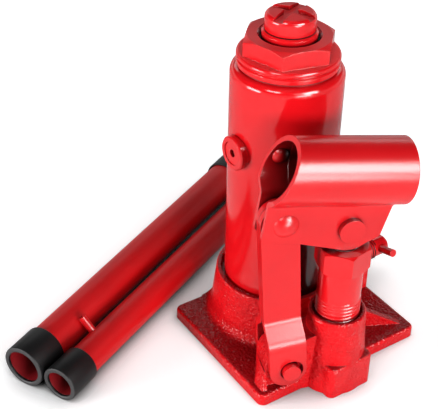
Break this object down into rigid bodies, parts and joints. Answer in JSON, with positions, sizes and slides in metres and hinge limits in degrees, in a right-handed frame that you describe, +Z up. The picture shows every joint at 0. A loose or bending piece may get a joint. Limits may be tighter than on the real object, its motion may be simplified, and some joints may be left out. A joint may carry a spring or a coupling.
{
  "type": "hydraulic bottle jack",
  "caption": "Upright hydraulic bottle jack with a pressed pump lever, an extension screw in the ram, a release valve and a separate tube handle.",
  "frame": {"origin": "where the ram's axis meets the floor, on the base plate's underside", "axes": "+Z up along the ram, +X along the base plate's long side towards the release valve, -Y towards the pump"},
  "size_m": [0.188, 0.1794, 0.1579],
  "materials": {
    "red_enamel": "gloss",
    "dark_red_enamel": "gloss",
    "black_rubber": "satin",
    "seal_rubber": "matte",
    "ground_steel": "satin",
    "copper": "satin"
  },
  "bodies": {
    "jack_body": {"base": "red_enamel", "reservoir_casing": "red_enamel", "casing_gasket": "seal_rubber", "pressure_cylinder": "ground_steel", "cylinder_washer": "copper", "top_nut": "red_enamel", "nut_gasket": "seal_rubber", "ram_wiper": "seal_rubber", "filler_plug": "red_enamel", "pump_cylinder": "red_enamel", "pump_washer": "copper", "pump_seal": "seal_rubber", "suction_ball": "ground_steel", "delivery_ball": "ground_steel", "delivery_spring": "ground_steel", "delivery_plug": "ground_steel", "overload_ball": "ground_steel", "overload_spring": "ground_steel", "overload_screw": "ground_steel", "lug_pin": "red_enamel"},
    "ram": {"ram": "red_enamel", "ram_cup_seal": "seal_rubber", "ram_backup_ring": "ground_steel"},
    "screw_stop": {"screw_stop_ring": "ground_steel"},
    "extension_screw": {"extension_screw": "red_enamel"},
    "plunger": {"pump_plunger": "ground_steel"},
    "socket": {"handle_socket": "red_enamel", "plunger_pin": "red_enamel", "link_rivet": "red_enamel", "stop_rivet": "red_enamel"},
    "links": {"near_link": "red_enamel", "far_link": "red_enamel"},
    "release_ball": {"release_ball": "ground_steel"},
    "release_valve": {"release_spindle": "red_enamel", "release_seal": "seal_rubber", "release_cross_pin": "red_enamel"},
    "large_handle": {"large_handle_tube": "dark_red_enamel", "large_near_sleeve": "black_rubber", "large_far_sleeve": "black_rubber"},
    "small_handle": {"small_handle_tube": "dark_red_enamel", "small_near_sleeve": "black_rubber", "handle_stud": "dark_red_enamel"}
  },
  "joints": [
    {"name": "ram_slide", "type": "slide", "parent": "jack_body", "child": "ram", "axis": [0, 0, 1], "range_m": [0, 0.09]},
    {"name": "screw_rise", "type": "slide", "parent": "ram", "child": "screw_stop", "axis": [0, 0, 1], "range_m": [0, 0.05]},
    {"name": "screw_turn", "type": "hinge", "parent": "screw_stop", "child": "extension_screw", "pos_m": [0, 0, 0.15], "axis": [0, 0, 1], "range_deg": [0, 4600]},
    {"name": "plunger_slide", "type": "slide", "parent": "jack_body", "child": "plunger", "axis": [0, 0, 1], "range_m": [0, 0.018]},
    {"name": "socket_swing", "type": "hinge", "parent": "plunger", "child": "socket", "pos_m": [-0.00176, -0.04686, 0.0835], "axis": [-0.3173, -0.9483, 0], "range_deg": [0, 36]},
    {"name": "link_swing", "type": "hinge", "parent": "socket", "child": "links", "pos_m": [-0.02799, -0.03809, 0.08941], "axis": [-0.3173, -0.9483, 0], "range_deg": [-37.5, 0]},
    {"name": "release_slide", "type": "slide", "parent": "jack_body", "child": "release_ball", "axis": [1, 0, 0], "range_m": [0, 0.0013]},
    {"name": "release_turn", "type": "hinge", "parent": "release_ball", "child": "release_valve", "pos_m": [0.0576, -0.0047, 0.0195], "axis": [1, 0, 0], "range_deg": [0, 360]},
    {"name": "large_handle_lift", "type": "slide", "parent": "jack_body", "child": "large_handle", "axis": [-0.2223, 0.4479, 0.866], "range_m": [0, 0.2]},
    {"name": "small_handle_lift", "type": "slide", "parent": "jack_body", "child": "small_handle", "axis": [0, 0, 1], "range_m": [0, 0.2]}
  ],
  "couplings": [
    {"joint": "screw_turn", "follows": "screw_rise", "rad_per_m": 1570.8},
    {"joint": "plunger_slide", "follows": "socket_swing", "m_per_rad": 0.02852},
    {"joint": "link_swing", "follows": "socket_swing", "ratio": -1.0382},
    {"joint": "release_slide", "follows": "release_turn", "m_per_rad": 0.00019894}
  ]
}
